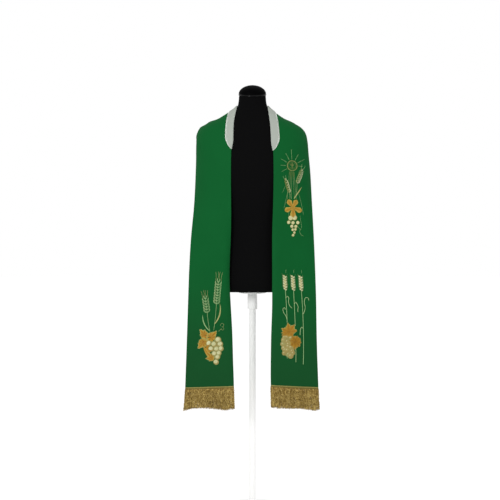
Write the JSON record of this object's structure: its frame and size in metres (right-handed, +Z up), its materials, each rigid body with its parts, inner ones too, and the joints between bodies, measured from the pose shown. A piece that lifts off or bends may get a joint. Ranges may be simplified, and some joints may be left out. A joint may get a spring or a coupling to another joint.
{
  "type": "clerical stole on a dress form",
  "caption": "Clerical stole with embroidered bands, a white neck strip and fringed ends, worn open on a limbless dress form with a slim pole and a round base.",
  "frame": {"origin": "on the floor, at the middle of the base plate's underside", "axes": "+Z up, the front faces -Y, the wearer's left is at +X"},
  "size_m": [0.4925, 0.3, 1.5979],
  "materials": {
    "green_cloth": "matt woven polyester, deep green",
    "white_cotton": "plain white cotton",
    "white_lace": "narrow white cotton lace edging",
    "gold_braid": "woven gold thread",
    "gold_fringe": "twisted gold metallic thread",
    "embroidery_gold": "satin-stitched gold thread",
    "embroidery_cream": "satin-stitched cream thread",
    "black_jersey": "matt black jersey over foam",
    "black_gloss": "glossy black cap",
    "white_powder_coat": "white powder coat, satin"
  },
  "bodies": {
    "root": {"stole_right_half": "green_cloth", "stole_left_half": "green_cloth", "collar_strip": "white_cotton", "collar_lace": "white_lace", "fringe_right_heading": "gold_braid", "fringe_left_heading": "gold_braid", "fringe_right": "gold_fringe", "fringe_left": "gold_fringe", "form_torso": "black_jersey", "form_neck_cap": "black_gloss", "stand_socket": "white_powder_coat", "stand_pole": "white_powder_coat", "stand_hub": "white_powder_coat", "stand_base": "white_powder_coat"}
  },
  "joints": []
}
